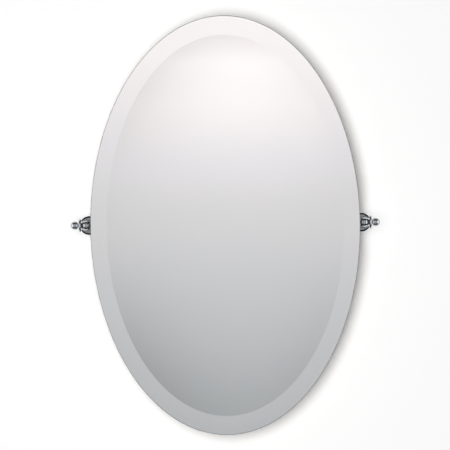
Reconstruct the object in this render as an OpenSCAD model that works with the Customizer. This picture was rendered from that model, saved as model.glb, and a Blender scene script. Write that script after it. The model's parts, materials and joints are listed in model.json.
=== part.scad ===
// Oval pivot wall mirror: a frameless bevelled glass on a backing board, which tilts
// between two turned posts and is held at its angle by two ball finials.
// X is to the viewer's right, Y runs into the wall and Z is up. The origin is on the wall,
// midway between the posts and level with the pivot axis. Sizes are in millimetres.

/* [Glass] */
// Height of the oval glass
glass_h = 737; // [560:1:900]
// Width of the oval glass
glass_w = 474; // [380:1:600]
// How far the middle of the glass hangs below the pivot axis
hang = 2.4; // [0:0.1:6]
// Thickness of the glass
glass_t = 5; // [4:0.5:8]
// Thickness that the bevel leaves at the rim
rim_t = 3.5; // [1.8:0.1:3.9]
// Width of the bevel at the two sides
bevel_side = 28; // [15:1:40]
// Width of the bevel at the top and the bottom
bevel_end = 33; // [15:1:45]
// Width of the polished arris on each edge of the rim
arris = 0.5; // [0.2:0.1:0.8]
// Thickness of the silvering with its safety film
silver_t = 0.3; // [0.2:0.1:0.6]

/* [Backing] */
// How far the board stays inside the outline of the glass
board_inset = 24; // [18:1:34]
// Thickness of the board
board_t = 12.7; // [11:0.1:18]
// Thickness of the foam tape between glass and board
tape_t = 1; // [0.5:0.1:2]
// Width of a strip of tape
tape_w = 25; // [12:1:40]
// Spacing of the five strips of tape
tape_pitch = 68; // [45:1:75]
// Clear distance from the end of a strip to the edge of the board
tape_end_gap = 30; // [15:1:50]
// Radius of a wall bumper
bumper_r = 6; // [4:0.5:9]
// Height of a wall bumper
bumper_t = 4; // [2:0.5:5]
// Distance of the bumpers from the middle of the board
bumper_x = 40; // [15:1:60]
// Distance of the bumpers from the ends of the board
bumper_inset = 19; // [14:1:40]

/* [Posts] */
// Distance from the edge of the glass to the axis of a post
post_gap = 8; // [7.5:0.1:14]
// Radius of the ball head
head_r = 8.8; // [7.4:0.1:11]
// Depth of the two flats that the washers bear on
flat_depth = 1.1; // [0.7:0.1:2]
// Radius of the stem at its two ends
stem_r = 5.6; // [4.8:0.1:6]
// Radius of the stem at its waist
waist_r = 4.6; // [3.8:0.1:4.7]
// Radius of the turned bead under the head
bead_r = 7.2; // [6.6:0.1:8]
// Thickness of that bead
bead_t = 3; // [1.6:0.1:4]
// Radius of the foot where the stem meets the flange
foot_r = 8; // [7.2:0.1:9.5]
// Thickness of that foot
foot_t = 3.2; // [2:0.1:4.5]

/* [Flanges] */
// Radius of the rim against the wall
flange_r = 17; // [15:0.5:26]
// Wall of the flange round the wall plate, under its rim
flange_wall = 3.8; // [3:0.1:5.5]
// Height of the rim
rim_h = 5.2; // [5:0.1:8]
// Width of the skirt that slopes inwards from the rim
skirt_w = 3.1; // [2.4:0.1:3.8]
// Height that the skirt rises
skirt_rise = 2.8; // [2:0.1:4]
// Radius of the ring turned at the top of the skirt
ring_r = 1.1; // [0.8:0.1:1.3]

/* [Wall plates] */
// Thickness of a wall plate
plate_t = 5; // [4:0.1:5]
// Depth of the groove round its edge
groove_depth = 1.4; // [0.8:0.1:1.8]
// Radius of its two screw holes
wall_hole_r = 2.25; // [1.75:0.05:2.6]
// Spacing of its two screw holes
wall_hole_pitch = 15; // [11:0.5:17]
// Radius of the countersinks
sink_r = 4.2; // [3.2:0.1:4.6]
// Radius of the set screw under the flange
set_r = 1.5; // [1.2:0.1:2]

/* [Finials] */
// Radius of the ball
ball_r = 7.4; // [5.5:0.1:10]
// Radius of the collar
collar_r = 11.4; // [8:0.1:14]
// Thickness of the collar
collar_t = 3.2; // [2:0.1:5]
// Radius of the neck between collar and ball
neck_r = 3.6; // [3.4:0.1:5]
// Length of that neck
neck_h = 1; // [0.4:0.1:3]
// Height of the spigot that presses on the washer
spigot_h = 0.4; // [0.3:0.1:2]

/* [Pivot] */
// Radius of the threaded pivot stud
stud_r = 2.5; // [2:0.1:3]
// Thickness of a nylon washer
washer_t = 1.6; // [0.8:0.1:2.5]
// Thickness of the weld nut
nut_t = 4.2; // [3:0.1:6]
// Width across the flats of the weld nut
nut_af = 8; // [7.4:0.1:8.6]
// Furthest that the mirror tilts either way, in degrees
tilt = 10; // [4:1:14]
// Least clearance between the bumpers and the wall at that tilt
wall_gap = 0.5; // [0.5:0.5:10]

/* [Brackets] */
// Thickness of the bracket's steel
bracket_t = 2.5; // [1.5:0.1:3]
// Inner radius of its bend
bend_r = 1.2; // [0.8:0.1:2]
// Radius of the rounded ear
ear_r = 7.2; // [6:0.1:9]
// Width of the bracket's plate
bracket_w = 44; // [34:1:70]
// Length of that plate on the board
bracket_len = 40; // [32:1:70]
// Corner radius of the plate
bracket_corner_r = 5; // [2:0.5:8]
// Distance from each screw's centre to the edge of the plate
screw_inset = 8; // [6:0.5:10]
// Radius of a bracket screw's shank
screw_r = 1.9; // [1.5:0.1:2.4]
// Radius of a bracket screw's head
screw_head_r = 3.8; // [3:0.1:4.6]
// Height of a bracket screw's head
screw_head_h = 2.2; // [1.6:0.1:3]
// How far a bracket screw goes into the board
screw_grip = 9.5; // [6:0.5:10.5]

/* [Hidden] */
// Clearances
run_gap = 0.08;     // round a shaft that turns in its hole, on the radius
thread_gap = 0.05;  // between two threads, on the radius
seat_gap = 0.2;     // between a part and the recess that takes it
silver_gap = 1;     // between the ear of a bracket and the silvering
plate_clear = 0.4;  // between a wall plate and the recess over it
quirk = 0.4;        // ledge beside a turned ring
ring_sink = 0.7;    // from the top of the skirt up to the bottom of the cove
rim_chamfer = 0.4;  // leg of the chamfer between rim and skirt

// Fasteners that are bought, not made
post_screw_r = 2.5;
post_screw_head_r = 4.25;
post_screw_head_h = 2.8;
post_screw_grip = 9;
spring_washer_t = 1.2;
spring_washer_r = 4.4;
head_clear = 0.8;
slot_w = 1;

// Smoothness
oval_n = 180;
turn_fn = 96;
corner_n = 6;

// The oval and the board
glass_a = glass_w / 2;
glass_b = glass_h / 2;
board_a = glass_a - board_inset;
board_b = glass_b - board_inset;

// Depths from the pivot axis towards the viewer
silver_front = ear_r + silver_gap + silver_t;
silver_back = silver_front - silver_t;
board_front = silver_back - tape_t;
board_back = board_front - board_t;
bracket_back = board_back - bracket_t;

// The distance from the wall to the pivot axis lets the bumpers clear the wall at full tilt
bumper_reach_z = board_b - bumper_inset + bumper_r + hang;
bumper_reach_y = bumper_t - board_back;
standoff = ceil(bumper_reach_z * sin(tilt) + bumper_reach_y * cos(tilt) + wall_gap);

// The pivot stack, measured outboard from the axis of a post
post_x = glass_a + post_gap;
head_flat = head_r - flat_depth;
head_flat_r = sqrt(head_r * head_r - head_flat * head_flat);
washer_end = head_flat + washer_t;
collar_start = washer_end + spigot_h;
collar_end = collar_start + collar_t;
neck_end = collar_end + neck_h;
ball_at = neck_end + sqrt(ball_r * ball_r - neck_r * neck_r);
stud_out = collar_end + ball_r;
ear_out = post_x - washer_end;
ear_in = ear_out - bracket_t;
nut_in = ear_in - nut_t;
stud_in = nut_in - 1.5;

// The flange and what it holds, as depths from the wall
cup_r = flange_r - flange_wall;
plate_r = cup_r - seat_gap;
cup_depth = plate_t + plate_clear;
core_r = spring_washer_r + 2.1;
core_depth = plate_t + head_clear + post_screw_head_h + spring_washer_t;
skirt_r = flange_r - skirt_w;
skirt_h = rim_h + skirt_rise;
ring_at = skirt_r - quirk - ring_r;
cove_at = ring_at - quirk;
cove_r = cove_at - foot_r;
flange_h = skirt_h + ring_sink + cove_r;
set_depth = plate_t / 2;
edge_round = 1;

// The stem
foot_end = flange_h + foot_t;
scotia_r = foot_r - edge_round - stem_r;
bead_end = standoff - head_r - 0.6;
bead_start = bead_end - bead_t;
bead_round = bead_t / 2;
waist_half = (bead_start - foot_end - scotia_r) / 2;
waist_curve = (pow(waist_half, 2) / (stem_r - waist_r) + stem_r - waist_r) / 2;

// Points round an oval of half-axes a and b
function oval(a, b) = [for (i = [0 : oval_n - 1]) let (t = 360 * i / oval_n) [a * cos(t), b * sin(t)]];

function unit(v) = v / norm(v);

function heading(v) = atan2(v[1], v[0]);

// The short way round from one angle to another
function short_turn(t) = t > 180 ? t - 360 : t < -180 ? t + 360 : t;

// The arc that rounds corner q, between its neighbours p and s
function corner(p, q, s, r) = let (
    u = unit(p - q),
    v = unit(s - q),
    half = acos(u * v) / 2,
    centre = q + unit(u + v) * r / sin(half),
    reach = r / tan(half),
    from = heading(q + u * reach - centre),
    turn = short_turn(heading(q + v * reach - centre) - from)
) [for (i = [0 : corner_n]) centre + r * [cos(from + turn * i / corner_n), sin(from + turn * i / corner_n)]];

// An outline whose corners, each [x, y, radius], are rounded
function rounded(points) = let (n = len(points)) [
    for (i = [0 : n - 1]) let (
        p = points[(i + n - 1) % n],
        q = points[i],
        s = points[(i + 1) % n]
    ) each (q[2] > 0 ? corner([p[0], p[1]], [q[0], q[1]], [s[0], s[1]], q[2]) : [[q[0], q[1]]])
];

// Puts a part made for the right on either side
module on_side(side) {
    if (side < 0) mirror([1, 0, 0]) children();
    else children();
}

// Lowers what belongs to the glass and the board, which hang below the pivot axis
module hung() {
    translate([0, 0, -hang]) children();
}

// Turns a profile of [radius, depth from the wall] about the axis of a post
module turned_on_post() {
    translate([post_x, 0, 0]) rotate([90, 0, 0]) rotate_extrude($fn = turn_fn) children();
}

// Turns a profile of [radius, distance outboard of the post] about the pivot axis
module turned_on_pivot() {
    translate([post_x, -standoff, 0]) rotate([0, 90, 0]) rotate_extrude($fn = turn_fn) children();
}

// A plate whose outline is seen from the front, from one depth to another in front of the pivot
module panel(outline, back, front) {
    translate([0, -standoff - back, 0]) rotate([90, 0, 0]) linear_extrude(front - back) polygon(outline);
}

// A solid through a row of ovals, each [half width, half height, depth in front of the pivot]
module oval_loft(rings) {
    n = oval_n;
    last = len(rings) - 1;
    points = [for (ring = rings) for (p = oval(ring[0], ring[1])) [p[0], -standoff - ring[2], p[1]]];
    sides = [
        for (k = [0 : last - 1]) for (i = [0 : n - 1]) let (j = (i + 1) % n)
            [k * n + i, (k + 1) * n + i, (k + 1) * n + j, k * n + j]
    ];
    back_cap = [for (i = [0 : n - 1]) i];
    front_cap = [for (i = [n - 1 : -1 : 0]) last * n + i];
    polyhedron(points, concat([back_cap, front_cap], sides), convexity = 4);
}

// A disc in a profile, with a quarter-round edge towards +Y
module rounded_step(radius, from, to, edge) {
    intersection() {
        translate([0, from]) square([radius, to - from]);
        union() {
            translate([0, from]) square([radius, to - from - edge]);
            translate([0, from]) square([radius - edge, to - from]);
            translate([radius - edge, to - edge]) circle(edge, $fn = turn_fn);
        }
    }
}

// The half of a ball's section that a lathe profile may hold
module half_disc(radius, at) {
    intersection() {
        translate([0, at]) circle(radius, $fn = turn_fn);
        translate([0, at - radius]) square([radius, 2 * radius]);
    }
}

module mirror_glass() {
    color("lightcyan") hung() oval_loft([
        [glass_a - arris, glass_b - arris, silver_front],
        [glass_a, glass_b, silver_front + arris],
        [glass_a, glass_b, silver_front + rim_t - arris],
        [glass_a - arris, glass_b - arris, silver_front + rim_t],
        [glass_a - bevel_side, glass_b - bevel_end, silver_front + glass_t]
    ]);
}

module silvering() {
    color("gainsboro") hung() panel(oval(glass_a - arris, glass_b - arris), silver_back, silver_front);
}

// Half the height of the board at a distance from its middle
function board_half_height(x) = board_b * sqrt(1 - pow(x / board_a, 2));

module mounting_tape() {
    color("whitesmoke") hung() for (i = [-2 : 2]) {
        edge = (abs(i) * tape_pitch) + tape_w / 2;
        half = board_half_height(edge) - tape_end_gap;
        translate([i * tape_pitch, -standoff - (board_front + silver_back) / 2, 0])
            cube([tape_w, tape_t, 2 * half], center = true);
    }
}

// Where the four screws of the right-hand bracket stand, as [x, z]
function screw_places() = [
    for (x = [board_a - bracket_len + screw_inset, board_a - screw_inset - 2])
        for (z = [-1, 1]) [x, z * (bracket_w / 2 - screw_inset)]
];

// A round hole or pin along the depth, at a place seen from the front
module across(place, radius, back, front) {
    translate([place[0], -standoff - back, place[1]]) rotate([90, 0, 0])
        cylinder(r = radius, h = front - back, $fn = 48);
}

module backing_board() {
    color("tan") difference() {
        hung() panel(oval(board_a, board_b), board_back, board_front);
        for (side = [-1, 1]) on_side(side)
            for (place = screw_places())
                across(place, screw_r + thread_gap, board_back - 1, board_back + screw_grip + 0.5);
    }
}

module wall_bumpers() {
    crown = 1;
    color("lightgray") hung() for (side = [-1, 1]) on_side(side) for (end = [-1, 1])
        translate([bumper_x, -standoff - board_back, end * (board_b - bumper_inset)])
            rotate([-90, 0, 0]) rotate_extrude($fn = 48)
                rounded_step(bumper_r, 0, bumper_t, crown);
}

module bracket(side) {
    plate_in = board_a - bracket_len;
    plate_out = ear_in - bend_r;
    taper_end = plate_out - 2;
    half = bracket_w / 2;
    outline = rounded([
        [plate_in, -half, bracket_corner_r],
        [board_a, -half, bracket_corner_r],
        [taper_end, -ear_r, 3],
        [plate_out, -ear_r, 0],
        [plate_out, ear_r, 0],
        [taper_end, ear_r, 3],
        [board_a, half, bracket_corner_r],
        [plate_in, half, bracket_corner_r]
    ]);
    color("slategray") on_side(side) difference() {
        union() {
            panel(outline, bracket_back, board_back);
            // the bend
            translate([plate_out, -standoff - board_back - bend_r, -ear_r])
                rotate_extrude(angle = 90, $fn = turn_fn)
                    translate([bend_r, 0]) square([bracket_t, 2 * ear_r]);
            // the ear, rounded about the pivot axis
            translate([ear_in, -standoff, -ear_r])
                cube([bracket_t, -board_back - bend_r, 2 * ear_r]);
            translate([ear_in, -standoff, 0]) rotate([0, 90, 0])
                cylinder(r = ear_r, h = bracket_t, $fn = turn_fn);
        }
        for (place = screw_places()) across(place, screw_r + seat_gap, bracket_back - 1, board_back + 1);
        translate([ear_in - 1, -standoff, 0]) rotate([0, 90, 0])
            cylinder(r = stud_r + run_gap, h = bracket_t + 2, $fn = 48);
    }
}

module weld_nut(side) {
    color("darkgray") on_side(side) translate([nut_in, -standoff, 0]) rotate([0, 90, 0]) difference() {
        cylinder(r = nut_af / sqrt(3), h = nut_t, $fn = 6);
        translate([0, 0, -1]) cylinder(r = stud_r + thread_gap, h = nut_t + 2, $fn = 48);
    }
}

module bracket_screws(side) {
    tip = 3;
    slot_depth = 1;
    color("silver") on_side(side) for (place = screw_places())
        translate([place[0], -standoff - bracket_back, place[1]]) rotate([90, 0, 0]) difference() {
            union() {
                cylinder(r = screw_r, h = bracket_t + screw_grip - tip, $fn = 32);
                translate([0, 0, bracket_t + screw_grip - tip])
                    cylinder(r1 = screw_r, r2 = 0.3, h = tip, $fn = 32);
                mirror([0, 0, 1]) rotate_extrude($fn = 48)
                    rounded_step(screw_head_r, 0, screw_head_h, screw_head_h * 0.6);
            }
            for (turn = [0, 90]) rotate([0, 0, turn])
                translate([-screw_head_r * 0.55, -slot_w / 2, -screw_head_h - 1])
                    cube([screw_head_r * 1.1, slot_w, slot_depth + 1]);
        }
}

module wall_plate(side) {
    color("darkgray") on_side(side) difference() {
        turned_on_post() difference() {
            square([plate_r, plate_t]);
            polygon([
                [plate_r - groove_depth, set_depth],
                [plate_r + 1, set_depth - groove_depth - 1],
                [plate_r + 1, set_depth + groove_depth + 1]
            ]);
        }
        for (end = [-1, 1]) translate([post_x, 0, end * wall_hole_pitch / 2]) rotate([90, 0, 0]) {
            translate([0, 0, -1]) cylinder(r = wall_hole_r, h = plate_t + 2, $fn = 48);
            translate([0, 0, plate_t - sink_r + wall_hole_r])
                cylinder(r1 = wall_hole_r, r2 = sink_r + 1, h = sink_r - wall_hole_r + 1, $fn = 48);
        }
    }
}

module flange(side) {
    slope = atan(skirt_rise / skirt_w);
    color("lightsteelblue") on_side(side) difference() {
        turned_on_post() difference() {
            union() {
                // rim and skirt
                polygon([
                    [0, 0],
                    [flange_r, 0],
                    [flange_r, rim_h - rim_chamfer],
                    [flange_r - rim_chamfer * cos(slope), rim_h + rim_chamfer * sin(slope)],
                    [skirt_r, skirt_h],
                    [0, skirt_h]
                ]);
                translate([ring_at, skirt_h]) circle(ring_r, $fn = turn_fn);
                // the cove that runs in to the foot of the post
                difference() {
                    square([cove_at, flange_h]);
                    translate([cove_at, flange_h]) circle(cove_r, $fn = turn_fn);
                }
            }
            // the recesses for the wall plate and the screw's head, and the hole for the screw
            translate([0, -1]) square([cup_r, cup_depth + 1]);
            square([core_r, core_depth]);
            square([post_screw_r + seat_gap, flange_h + 1]);
        }
        translate([post_x, -set_depth, 0]) mirror([0, 0, 1])
            cylinder(r = set_r + thread_gap, h = flange_r + 1, $fn = 48);
    }
}

module post(side) {
    color("lightsteelblue") on_side(side) difference() {
        turned_on_post() difference() {
            union() {
                // foot, with the scotia above it
                rounded_step(foot_r, flange_h, foot_end, edge_round);
                difference() {
                    translate([0, foot_end - 1]) square([foot_r - edge_round, scotia_r + 1]);
                    translate([foot_r - edge_round, foot_end + scotia_r]) circle(scotia_r, $fn = turn_fn);
                }
                // stem, with its waist
                difference() {
                    translate([0, foot_end]) square([stem_r, standoff - foot_end]);
                    translate([waist_r + waist_curve, bead_start - waist_half])
                        circle(waist_curve, $fn = 12 * turn_fn);
                }
                // bead and ball head
                translate([0, bead_start]) square([bead_r - bead_round, bead_t]);
                translate([bead_r - bead_round, bead_start + bead_round])
                    circle(bead_round, $fn = turn_fn);
                half_disc(head_r, standoff);
            }
            // the thread for the screw that holds the flange
            square([post_screw_r + thread_gap, flange_h + post_screw_grip + 1]);
        }
        // the flats for the washers, and the bore for the stud
        translate([post_x, -standoff, 0]) for (turn = [-90, 90]) rotate([0, turn, 0])
            translate([0, 0, head_flat]) cylinder(r = head_r, h = head_r, $fn = 48);
        translate([post_x - head_r - 1, -standoff, 0]) rotate([0, 90, 0])
            cylinder(r = stud_r + run_gap, h = 2 * head_r + 2, $fn = 48);
    }
}

module post_screw(side) {
    socket = 2;
    color("darkgray") on_side(side) translate([post_x, 0, 0]) rotate([90, 0, 0]) difference() {
        union() {
            translate([0, 0, plate_t + head_clear])
                cylinder(r = post_screw_head_r, h = post_screw_head_h, $fn = 48);
            translate([0, 0, plate_t + head_clear])
                cylinder(r = post_screw_r, h = flange_h + post_screw_grip - plate_t - head_clear, $fn = 48);
        }
        translate([0, 0, plate_t + head_clear - 1]) cylinder(r = socket, h = post_screw_head_h * 0.6 + 1, $fn = 6);
    }
}

module spring_washer(side) {
    gap = 1.2;
    color("gray") on_side(side) translate([post_x, -core_depth, 0]) rotate([90, 0, 0])
        translate([0, 0, -spring_washer_t]) difference() {
            cylinder(r = spring_washer_r, h = spring_washer_t, $fn = 48);
            translate([0, 0, -1]) cylinder(r = post_screw_r + seat_gap, h = spring_washer_t + 2, $fn = 48);
            translate([0, -gap / 2, -1]) cube([spring_washer_r + 1, gap, spring_washer_t + 2]);
        }
}

module set_screw(side) {
    tip_r = 0.4;
    tip_at = plate_r - groove_depth + tip_r + 0.05;
    cone_h = set_r - tip_r;
    length = flange_r - 0.3 - tip_at;
    socket_r = 0.9;
    socket_depth = 1.6;
    color("dimgray") on_side(side) translate([post_x, -set_depth, 0]) mirror([0, 0, 1])
        translate([0, 0, tip_at]) difference() {
            union() {
                cylinder(r1 = tip_r, r2 = set_r, h = cone_h, $fn = 48);
                translate([0, 0, cone_h]) cylinder(r = set_r, h = length - cone_h, $fn = 48);
            }
            translate([0, 0, length - socket_depth]) cylinder(r = socket_r, h = socket_depth + 1, $fn = 6);
        }
}

// A nylon washer whose inner face is at a distance outboard of the post
module washer(from) {
    turned_on_pivot() translate([stud_r + run_gap, from])
        square([head_flat_r - stud_r - run_gap, washer_t]);
}

module inner_washer(side) {
    color("black") on_side(side) washer(-washer_end);
}

module outer_washer(side) {
    color("black") on_side(side) washer(head_flat);
}

module pivot_stud(side) {
    end_chamfer = 0.6;
    color("silver") on_side(side) translate([stud_in, -standoff, 0]) rotate([0, 90, 0]) {
        cylinder(r1 = stud_r - end_chamfer, r2 = stud_r, h = end_chamfer, $fn = 48);
        translate([0, 0, end_chamfer])
            cylinder(r = stud_r, h = post_x + stud_out - stud_in - end_chamfer, $fn = 48);
    }
}

module finial(side) {
    lip = collar_t / 2;
    color("lightsteelblue") on_side(side) turned_on_pivot() difference() {
        union() {
            translate([0, washer_end]) square([head_flat_r, spigot_h + 0.5]);
            // the collar, with a fully rounded rim
            translate([0, collar_start]) square([collar_r - lip, collar_t]);
            translate([collar_r - lip, collar_start + lip]) circle(lip, $fn = turn_fn);
            translate([0, collar_end - 0.5]) square([neck_r, neck_end - collar_end + 1]);
            half_disc(ball_r, ball_at);
        }
        // the blind thread for the stud
        translate([0, washer_end - 1]) square([stud_r + thread_gap, stud_out + 0.5 - washer_end + 1]);
    }
}

mirror_glass();
silvering();
mounting_tape();
backing_board();
wall_bumpers();
bracket(-1);  // bracket_left
bracket(1);  // bracket_right
weld_nut(-1);  // weld_nut_left
weld_nut(1);  // weld_nut_right
bracket_screws(-1);  // bracket_screws_left
bracket_screws(1);  // bracket_screws_right
wall_plate(-1);  // wall_plate_left
wall_plate(1);  // wall_plate_right
flange(-1);  // flange_left
flange(1);  // flange_right
post(-1);  // post_left
post(1);  // post_right
post_screw(-1);  // post_screw_left
post_screw(1);  // post_screw_right
spring_washer(-1);  // spring_washer_left
spring_washer(1);  // spring_washer_right
set_screw(-1);  // set_screw_left
set_screw(1);  // set_screw_right
inner_washer(-1);  // inner_washer_left
inner_washer(1);  // inner_washer_right
outer_washer(-1);  // outer_washer_left
outer_washer(1);  // outer_washer_right
pivot_stud(-1);  // pivot_stud_left
pivot_stud(1);  // pivot_stud_right
finial(-1);  // finial_left
finial(1);  // finial_right
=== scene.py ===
import json
import math

import bmesh
import bpy
from mathutils import Matrix, Vector


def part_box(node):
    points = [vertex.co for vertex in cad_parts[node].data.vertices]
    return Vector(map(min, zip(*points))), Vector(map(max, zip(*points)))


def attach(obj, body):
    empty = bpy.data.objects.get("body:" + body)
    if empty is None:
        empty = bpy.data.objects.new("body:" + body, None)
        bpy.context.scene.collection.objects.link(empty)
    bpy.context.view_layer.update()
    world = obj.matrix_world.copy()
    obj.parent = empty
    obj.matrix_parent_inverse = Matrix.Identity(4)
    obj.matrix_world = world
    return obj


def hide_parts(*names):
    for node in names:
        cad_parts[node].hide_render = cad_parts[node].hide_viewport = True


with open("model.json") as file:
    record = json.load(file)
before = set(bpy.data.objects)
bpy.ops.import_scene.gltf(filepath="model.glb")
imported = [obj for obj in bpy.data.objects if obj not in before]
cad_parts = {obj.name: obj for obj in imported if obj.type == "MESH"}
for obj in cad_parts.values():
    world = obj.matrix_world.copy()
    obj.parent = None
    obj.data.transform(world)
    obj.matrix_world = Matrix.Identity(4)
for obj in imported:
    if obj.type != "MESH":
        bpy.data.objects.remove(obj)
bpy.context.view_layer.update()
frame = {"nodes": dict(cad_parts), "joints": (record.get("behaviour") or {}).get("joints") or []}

MM = 0.001
SIDES = {"left": -1, "right": 1}
FULL_TURN = 2 * math.pi
QUARTER_TURN = math.radians(90)

# ---------------------------------------------------------------- how finely meshes are made
EASE_STEP = 0.25 * MM        # the step along the straight parts of turned work
CORNER = math.radians(25)    # an outline that turns more sharply is softened there
SAME_POINT = 1e-6            # points of an outline that lie closer, in millimetres, are one
WELD = 0.0005 * MM           # vertices that lie closer are merged
ON_PLANE = 1e-7              # vertices that lie closer to a cutting plane are on it
FLAT_ON = 0.9                # a face whose normal has this much of Y faces the front or the back

# ---------------------------------------------------------------- sizes taken from the frame
glass_low, glass_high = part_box("mirror_glass")
glass_half_w, glass_half_h = glass_high.x, (glass_high.z - glass_low.z) / 2
glass_mid_z = (glass_high.z + glass_low.z) / 2
glass_back, glass_front = glass_high.y, glass_low.y
silver_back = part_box("silvering")[1].y
board_low, board_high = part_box("backing_board")
bumper_low, bumper_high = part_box("wall_bumpers")
flange_low, flange_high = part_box("flange_right")
post_x = (flange_low.x + flange_high.x) / 2
axis_y = next(j["pos_m"][1] for j in frame["joints"] if j["name"] == "mirror_tilt")

# ---------------------------------------------------------------- sizes repeated from the CAD
# The glass
ARRIS = 0.5 * MM
RIM_T = 3.5 * MM
BEVEL_SIDE = 28 * MM
BEVEL_END = 33 * MM
# The turned parts and fasteners, in millimetres. The flange: radii, and depths from the wall
FLANGE = {"rim_r": 17, "rim_h": 5.2, "chamfer": 0.4, "skirt_r": 13.9, "skirt_h": 8, "ring_r": 1.1,
          "quirk": 0.4, "ring_sink": 0.7, "cup_r": 13.2, "cup_depth": 5.4, "core_r": 6.5,
          "core_depth": 9.8, "bore": 2.7, "hole_r": 1.55, "hole_at": 2.5}
# The post
POST = {"foot_r": 8, "foot_t": 3.2, "edge": 1, "stem_r": 5.6, "waist_r": 4.6, "bead_r": 7.2,
        "bead_t": 3, "bead_gap": 0.6, "head_r": 8.8, "flat": 7.7, "bore": 2.55, "bore_depth": 10,
        "cross_bore": 2.58}
# The finial: radii, and distances outboard of the post's axis
FINIAL = {"start": 9.3, "spigot_r": 4.26, "collar_at": 9.7, "collar_t": 3.2, "collar_r": 11.4,
          "neck_r": 3.6, "neck_end": 13.9, "ball_r": 7.4, "bore": 2.55, "bore_end": 20.8}
# The stud, and the nut welded to the bracket's ear
STUD = {"crest_r": 2.5, "root_r": 2.05, "pitch": 0.8, "chamfer": 0.6}
NUT = {"across_flats": 8, "height": 4.2, "bore": 2.55, "end_share": 0.97, "mouth": 0.4}
# A tooth of the stud's thread: shares of the pitch, and the radius that the thread has there
TOOTH = ((0, "root_r"), (0.12, "root_r"), (0.44, "crest_r"), (0.56, "crest_r"), (0.88, "root_r"))
# A wall bumper: its crown is rounded, and its foot drawn in a little
BUMPER = {"r": 6.0, "crown_r": 1, "foot_in": 0.15, "foot_h": 0.2}


# ---------------------------------------------------------------- mesh helpers
def arc(centre, radius, start, end, steps):
    """Points of an arc in an outline, from one angle to another, in degrees."""
    turns = [math.radians(start + (end - start) * i / steps) for i in range(steps + 1)]
    return [(centre[0] + radius * math.cos(t), centre[1] + radius * math.sin(t)) for t in turns]


def lathe(outline, steps=128, closed=False, soften=0.0):
    """Turns an outline of (radius, height) points, in millimetres, about Z."""
    bm = bmesh.new()
    apart = [p for p, q in zip(outline, outline[1:] + [(-1, -1)]) if math.dist(p, q) > SAME_POINT]
    verts = [bm.verts.new((r * MM, 0, h * MM)) for r, h in apart]
    pairs = list(zip(verts, verts[1:])) + ([(verts[-1], verts[0])] if closed else [])
    edges = [bm.edges.new(pair) for pair in pairs]
    if soften:
        corners = [v for v in verts if len(v.link_edges) == 2 and turn_at(v) > CORNER]
        bmesh.ops.bevel(bm, geom=corners, offset=soften * MM, offset_type="OFFSET", segments=3,
                        profile=0.5, material=-1, affect="VERTICES", clamp_overlap=True)
    # short steps along straight parts keep their shading flat right up to the eased corners
    for edge in [e for e in bm.edges if e.calc_length() > 4 * EASE_STEP]:
        cuts = int(edge.calc_length() / EASE_STEP)
        bmesh.ops.subdivide_edges(bm, edges=[edge], cuts=cuts)
    bmesh.ops.spin(bm, geom=bm.verts[:] + bm.edges[:], cent=(0, 0, 0), axis=(0, 0, 1),
                   angle=FULL_TURN, steps=steps, use_merge=True)
    bmesh.ops.remove_doubles(bm, verts=bm.verts, dist=WELD)
    bmesh.ops.recalc_face_normals(bm, faces=bm.faces)
    return bm


def turn_at(vert):
    """How sharply an outline turns at a vertex."""
    a, b = (edge.other_vert(vert).co - vert.co for edge in vert.link_edges)
    return math.pi - a.angle(b)


def loft_ovals(rings, segments):
    """A closed solid through a row of ovals, each (half width, half height, y), which all hang
    with the glass."""
    bm = bmesh.new()
    bmesh.ops.create_circle(bm, segments=segments, radius=1)
    upright = Matrix.Rotation(QUARTER_TURN, 4, "X")
    half_w, half_h, y = rings[0]
    bmesh.ops.transform(bm, verts=bm.verts, matrix=upright)
    bmesh.ops.transform(bm, verts=bm.verts, matrix=Matrix.Diagonal((half_w, 1, half_h, 1)))
    bmesh.ops.translate(bm, verts=bm.verts, vec=(0, y, 0))
    first = ring = bm.edges[:]
    for (w0, h0, y0), (w1, h1, y1) in zip(rings, rings[1:]):
        made = bmesh.ops.extrude_edge_only(bm, edges=ring)["geom"]
        verts = [e for e in made if isinstance(e, bmesh.types.BMVert)]
        edges = [e for e in made if isinstance(e, bmesh.types.BMEdge)]
        on_ring = set(verts)
        ring = [e for e in edges if on_ring.issuperset(e.verts)]
        bmesh.ops.transform(bm, verts=verts, matrix=Matrix.Diagonal((w1 / w0, 1, h1 / h0, 1)))
        bmesh.ops.translate(bm, verts=verts, vec=(0, y1 - y0, 0))
    for loop in (first, ring):
        bmesh.ops.edgeloop_fill(bm, edges=loop)
    bmesh.ops.translate(bm, verts=bm.verts, vec=(0, 0, glass_mid_z))
    bmesh.ops.recalc_face_normals(bm, faces=bm.faces)
    return bm


def place(bm, *matrices):
    """Applies transforms to a whole mesh, in the order given, and keeps its faces outwards."""
    for matrix in matrices:
        bmesh.ops.transform(bm, verts=bm.verts, matrix=matrix)
    bmesh.ops.recalc_face_normals(bm, faces=bm.faces)
    return bm


def to_object(name, bm, materials):
    """Turns a bmesh into an object of the scene."""
    mesh = bpy.data.meshes.new(name)
    bm.to_mesh(mesh)
    bm.free()
    for material in materials:
        mesh.materials.append(material)
    made = bpy.data.objects.new(name, mesh)
    bpy.context.scene.collection.objects.link(made)
    return made


def piece(name, bm, body, materials, replaces, sharp=30):
    """Makes a finished piece of a bmesh, smooth but for edges sharper than an angle in degrees."""
    made = to_object(name, bm, materials)
    made.data.shade_smooth()
    made.data.set_sharp_from_angle(angle=math.radians(sharp))
    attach(made, body)
    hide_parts(*replaces)


# ---------------------------------------------------------------- material helpers
# Most of a noise's values lie within this part of its range
SPREAD = {"From Min": 0.3, "From Max": 0.7}


def linear(hex_colour):
    """An sRGB hex colour as linear RGBA."""
    channels = [int(hex_colour[i:i + 2], 16) / 255 for i in (1, 3, 5)]
    return [c / 12.92 if c <= 0.04045 else ((c + 0.055) / 1.055) ** 2.4 for c in channels] + [1.0]


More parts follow.
